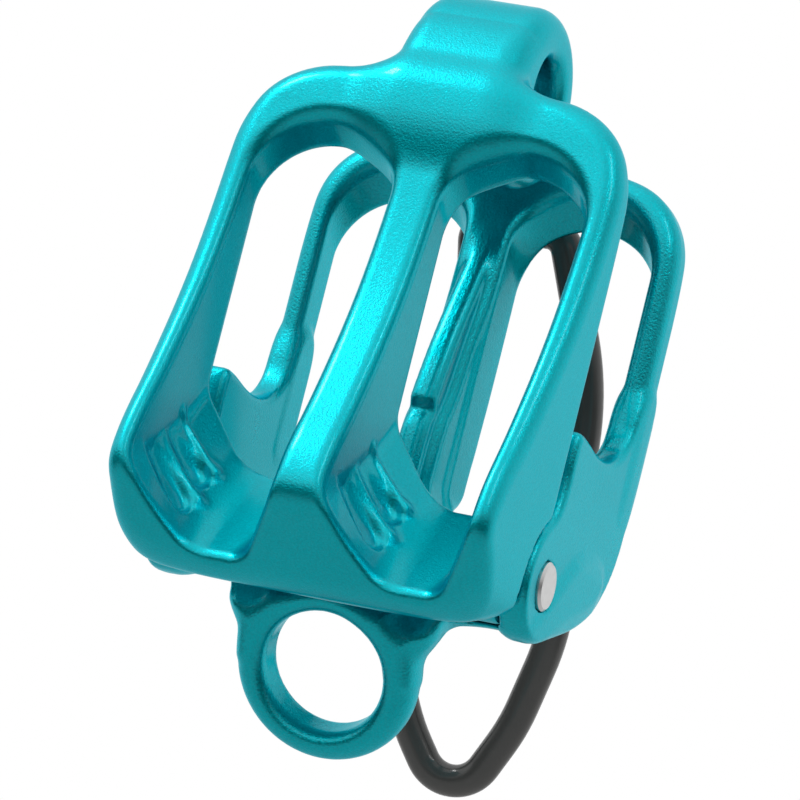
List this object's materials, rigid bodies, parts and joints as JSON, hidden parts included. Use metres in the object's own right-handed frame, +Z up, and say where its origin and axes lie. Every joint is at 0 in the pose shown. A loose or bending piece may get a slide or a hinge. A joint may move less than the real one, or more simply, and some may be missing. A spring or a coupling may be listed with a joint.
{
  "type": "tubular belay device",
  "caption": "Hinged guide-mode belay device: slotted front plate with ridged V troughs and an eye, two-window rear frame with a ring, and a wire keeper loop.",
  "frame": {"origin": "centre of the attachment ring's hole", "axes": "+X across the two rope slots, +Y towards the rear frame and keeper loop, +Z up along the rear frame to the eye"},
  "size_m": [0.0388, 0.0571, 0.0751],
  "materials": {
    "anodised_front": "hot forged, turquoise anodised, fine sparkle",
    "anodised_rear": "hot forged, turquoise anodised, slightly coarser grain",
    "rivet_steel": "bare, satin",
    "cable_steel": "bare strand",
    "black_sleeve": "smooth, semi-gloss",
    "crimp": "bare, pressed"
  },
  "bodies": {
    "rear": {"rear_frame": "anodised_rear"},
    "front": {"front_plate": "anodised_front", "rivet_left": "rivet_steel", "rivet_right": "rivet_steel"},
    "keeper": {"keeper_cable": "cable_steel", "keeper_sheath": "black_sleeve", "keeper_ferrule": "crimp"}
  },
  "joints": [
    {"name": "plate_hinge", "type": "hinge", "parent": "rear", "child": "front", "pos_m": [0, -0.0018, 0.0109], "axis": [1, 0, 0], "range_deg": [0, 28]},
    {"name": "keeper_swing", "type": "hinge", "parent": "rear", "child": "keeper", "pos_m": [0, 0.0222, 0.0493], "axis": [1, 0, 0], "range_deg": [-16, 90]}
  ]
}
